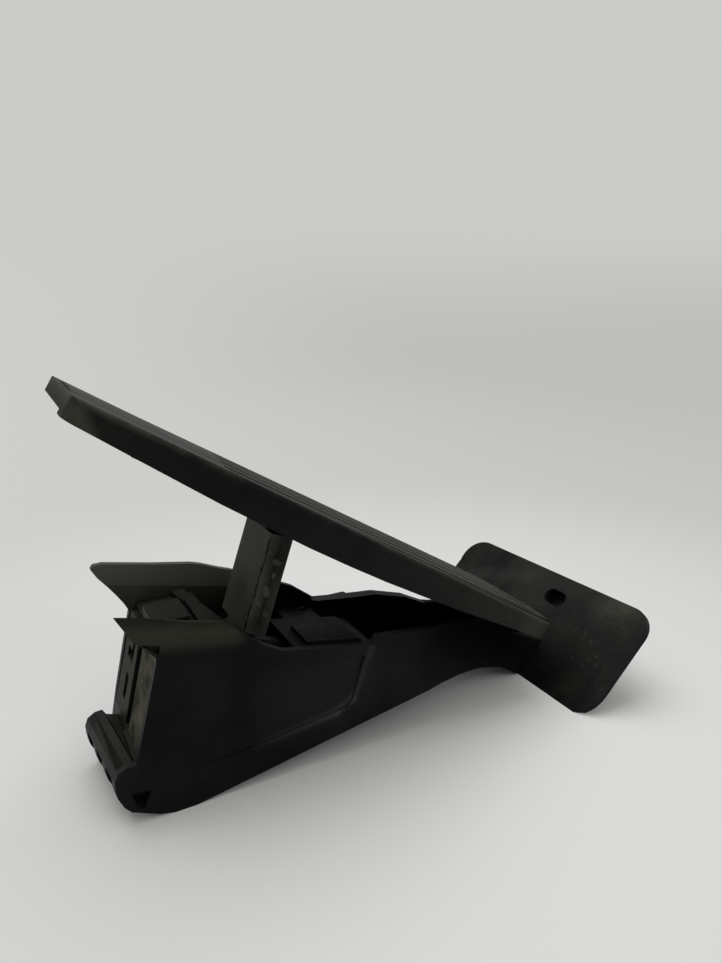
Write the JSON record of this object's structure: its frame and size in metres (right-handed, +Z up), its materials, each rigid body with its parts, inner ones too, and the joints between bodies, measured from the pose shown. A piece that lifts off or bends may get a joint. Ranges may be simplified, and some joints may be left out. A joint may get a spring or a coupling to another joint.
{
  "type": "accelerator pedal",
  "caption": "Floor hinged accelerator pedal: long ribbed pad, sloping strut, open tapering bracket and heel plate.",
  "frame": {"origin": "under the middle of the part's box, on the surface that it rests on", "axes": "+X along the pedal towards the heel plate, +Y across it to the side with the plug socket, +Z up"},
  "size_m": [0.2386, 0.1316, 0.1564],
  "materials": {
    "bracket_plastic": "satin",
    "pad_plastic": "satin",
    "strut_plastic": "matte",
    "inner_plastic": "matte",
    "shoe_plastic": "matte",
    "pin_steel": "satin",
    "spring_steel": "satin",
    "seat_plastic": "matte",
    "buffer_rubber": "matte",
    "magnet_ferrite": "matte",
    "deck_plastic": "matte",
    "dusty_plastic": "matte",
    "board_laminate": "satin",
    "chip_resin": "matte",
    "terminal_brass": "satin"
  },
  "bodies": {
    "bracket_body": {"bracket": "bracket_plastic", "shaft_clip": "pin_steel", "lever_shaft": "pin_steel", "outer_spring": "spring_steel", "inner_spring": "spring_steel", "lower_spring_seat": "seat_plastic", "friction_shoe": "shoe_plastic", "stop_buffer": "buffer_rubber", "deck_cover": "deck_plastic", "front_cover": "deck_plastic", "end_cover": "dusty_plastic", "end_latch": "deck_plastic", "sensor_cover": "bracket_plastic", "cover_seal": "buffer_rubber", "sensor_board": "board_laminate", "sensor_chip": "chip_resin", "terminal_pins": "terminal_brass", "cover_screws": "pin_steel"},
    "pad_body": {"pad": "pad_plastic", "hinge_pin": "pin_steel", "head_pin": "pin_steel"},
    "lever_body": {"lever": "inner_plastic", "foot_pin": "pin_steel", "shaft_bushes": "shoe_plastic", "magnet_holder": "inner_plastic", "magnet": "magnet_ferrite", "upper_spring_seat": "seat_plastic"},
    "strut_body": {"strut": "strut_plastic"}
  },
  "joints": [
    {"name": "pad_press", "type": "hinge", "parent": "bracket_body", "child": "pad_body", "pos_m": [0.06244, -0.00825, 0.0276], "axis": [0, -1, 0], "range_deg": [0, 12], "stiffness_Nm_per_rad": 8, "springref_deg": -11.46},
    {"name": "lever_turn", "type": "hinge", "parent": "bracket_body", "child": "lever_body", "pos_m": [-0.00856, -0.00825, 0.03], "axis": [0, -1, 0], "range_deg": [0, 27.7], "deforming": ["outer_spring", "inner_spring"]},
    {"name": "strut_swing", "type": "hinge", "parent": "lever_body", "child": "strut_body", "pos_m": [-0.05956, -0.00825, 0.048], "axis": [0, -1, 0], "range_deg": [-16.7, 0]}
  ],
  "couplings": [
    {"joint": "lever_turn", "follows": "pad_press", "ratio": 2.299},
    {"joint": "strut_swing", "follows": "pad_press", "ratio": -1.384}
  ]
}
